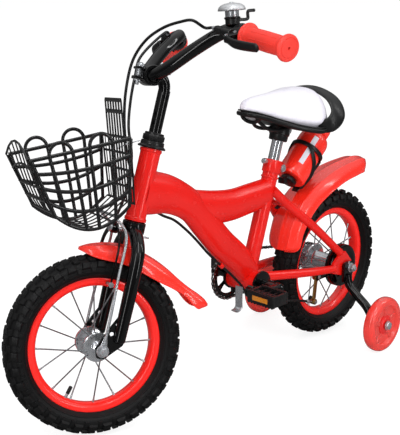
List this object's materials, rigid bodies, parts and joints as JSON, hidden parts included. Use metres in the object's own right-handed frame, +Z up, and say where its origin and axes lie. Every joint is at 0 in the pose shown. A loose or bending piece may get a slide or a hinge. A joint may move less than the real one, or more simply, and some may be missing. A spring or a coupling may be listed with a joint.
{
  "type": "kids bike with training wheels",
  "caption": "Small bicycle with bent main tube, turned front wheel, training wheels, wire basket, mudguards, bottle cage and padded saddle.",
  "frame": {"origin": "on the ground, below the middle of the whole bike's box", "axes": "+X forwards, +Y to the rider's left, +Z up"},
  "size_m": [0.9202, 0.459, 0.7045],
  "materials": {
    "red_paint": "gloss",
    "tyre": "matte, knobbly",
    "zinc_steel": "zinc plated, slightly dull",
    "chrome": "polished",
    "bell_steel": "polished dome",
    "brass": "dull",
    "black_paint": "gloss",
    "black_plastic": "satin",
    "cable_black": "smooth sheath",
    "white_vinyl": "satin",
    "clear_red_plastic": "glossy, see-through",
    "red_plastic": "gloss"
  },
  "bodies": {
    "frame": {"head_tube": "red_paint", "main_tube": "red_paint", "top_tube": "red_paint", "seat_tube": "red_paint", "bottom_bracket_shell": "red_paint", "left_chainstay": "red_paint", "right_chainstay": "red_paint", "left_seatstay": "red_paint", "right_seatstay": "red_paint", "rear_axle": "zinc_steel", "brake_cover": "black_paint", "chain": "zinc_steel", "left_training_arm": "black_paint", "right_training_arm": "black_paint", "rear_mudguard": "red_plastic", "bottle": "red_plastic", "bottle_cage": "black_plastic", "rear_cable": "cable_black", "rear_cable_loop": "cable_black"},
    "steering": {"fork_crown": "black_paint", "left_fork_blade": "black_paint", "right_fork_blade": "black_paint", "headset_nut": "black_plastic", "stem": "black_paint", "handlebar": "black_paint", "left_grip": "red_plastic", "right_grip": "red_plastic", "left_lever_bracket": "black_plastic", "right_lever_bracket": "black_plastic", "bell": "bell_steel", "front_axle": "zinc_steel", "front_mudguard": "red_plastic", "basket_left": "black_plastic", "basket_right": "black_plastic", "basket_floor": "black_plastic", "basket_back": "black_plastic", "basket_rack": "chrome", "front_cable": "cable_black"},
    "front_wheel": {"front_tyre": "tyre", "front_rim": "red_paint", "front_hub": "zinc_steel"},
    "rear_wheel": {"rear_tyre": "tyre", "rear_rim": "red_paint", "rear_hub": "chrome"},
    "crank": {"crank": "black_paint", "chainring": "black_paint"},
    "sprocket": {"sprocket": "zinc_steel"},
    "left_pedal": {"left_pedal": "black_plastic"},
    "right_pedal": {"right_pedal": "black_plastic"},
    "left_training_wheel": {"left_training_wheel": "clear_red_plastic"},
    "right_training_wheel": {"right_training_wheel": "clear_red_plastic"},
    "left_brake_lever": {"left_brake_lever": "black_plastic"},
    "right_brake_lever": {"right_brake_lever": "black_plastic"},
    "left_caliper": {"left_caliper_arm": "zinc_steel"},
    "right_caliper": {"right_caliper_arm": "zinc_steel"},
    "brake_arm": {"brake_arm": "brass"},
    "saddle": {"seat_post": "chrome", "saddle_base": "black_plastic", "saddle_pad": "white_vinyl"},
    "bell_striker": {"bell_striker": "black_plastic"}
  },
  "joints": [
    {"name": "steer_turn", "type": "hinge", "parent": "frame", "child": "steering", "pos_m": [0.29713, -0.03177, 0.14496], "axis": [-0.3173, 0, 0.9483], "range_deg": [-19, 69], "deforming": ["rear_cable_loop"]},
    {"name": "front_wheel_spin", "type": "hinge", "parent": "steering", "child": "front_wheel", "pos_m": [0.31768, -0.0421, 0.15183], "axis": [0.4083, 0.9026, 0.1366], "continuous": true},
    {"name": "rear_wheel_spin", "type": "hinge", "parent": "frame", "child": "rear_wheel", "pos_m": [-0.30811, -0.03177, 0.152], "axis": [0, 1, 0], "continuous": true},
    {"name": "crank_spin", "type": "hinge", "parent": "frame", "child": "crank", "pos_m": [-0.06111, -0.03177, 0.172], "axis": [0, 1, 0], "continuous": true},
    {"name": "sprocket_spin", "type": "hinge", "parent": "frame", "child": "sprocket", "pos_m": [-0.30811, -0.03177, 0.152], "axis": [0, 1, 0], "continuous": true},
    {"name": "left_pedal_spin", "type": "hinge", "parent": "crank", "child": "left_pedal", "pos_m": [0.01742, 0.08323, 0.18726], "axis": [0, 1, 0], "continuous": true},
    {"name": "left_training_wheel_spin", "type": "hinge", "parent": "frame", "child": "left_training_wheel", "pos_m": [-0.30131, 0.12123, 0.0555], "axis": [0, 1, 0], "continuous": true},
    {"name": "left_lever_squeeze", "type": "hinge", "parent": "steering", "child": "left_brake_lever", "pos_m": [0.16655, 0.11097, 0.6485], "axis": [0.3002, 0.0326, 0.9533], "range_deg": [0, 7], "stiffness_Nm_per_rad": 2, "springref_deg": -1.15},
    {"name": "left_caliper_close", "type": "hinge", "parent": "steering", "child": "left_caliper", "pos_m": [0.26062, -0.04469, 0.33942], "axis": [-0.8559, 0.4305, -0.2864], "range_deg": [0, 1.3]},
    {"name": "right_pedal_spin", "type": "hinge", "parent": "crank", "child": "right_pedal", "pos_m": [-0.13964, -0.14677, 0.15674], "axis": [0, 1, 0], "continuous": true},
    {"name": "right_training_wheel_spin", "type": "hinge", "parent": "frame", "child": "right_training_wheel", "pos_m": [-0.30131, -0.18477, 0.0555], "axis": [0, 1, 0], "continuous": true},
    {"name": "right_lever_squeeze", "type": "hinge", "parent": "steering", "child": "right_brake_lever", "pos_m": [0.04872, -0.14953, 0.60908], "axis": [-0.0698, 0.4768, -0.8762], "range_deg": [0, 7], "stiffness_Nm_per_rad": 2, "springref_deg": -1.15},
    {"name": "right_caliper_close", "type": "hinge", "parent": "steering", "child": "right_caliper", "pos_m": [0.26062, -0.04469, 0.33942], "axis": [0.8559, -0.4305, 0.2864], "range_deg": [0, 1.3]},
    {"name": "brake_arm_pull", "type": "hinge", "parent": "frame", "child": "brake_arm", "pos_m": [-0.23011, 0.00723, 0.146], "axis": [0, -1, 0], "range_deg": [0, 2.4]},
    {"name": "saddle_height", "type": "slide", "parent": "frame", "child": "saddle", "axis": [-0.304, 0, 0.9527], "range_m": [-0.02, 0.04]},
    {"name": "bell_flick", "type": "hinge", "parent": "steering", "child": "bell_striker", "pos_m": [0.1195, 0.09635, 0.67778], "axis": [-0.3173, 0, 0.9483], "range_deg": [0, 20], "stiffness_Nm_per_rad": 0.05, "springref_deg": -1.15}
  ],
  "couplings": [
    {"joint": "sprocket_spin", "follows": "crank_spin", "ratio": 1.7692},
    {"joint": "left_caliper_close", "follows": "right_lever_squeeze", "ratio": 0.18},
    {"joint": "right_caliper_close", "follows": "right_lever_squeeze", "ratio": 0.18},
    {"joint": "brake_arm_pull", "follows": "left_lever_squeeze", "ratio": 0.34}
  ]
}
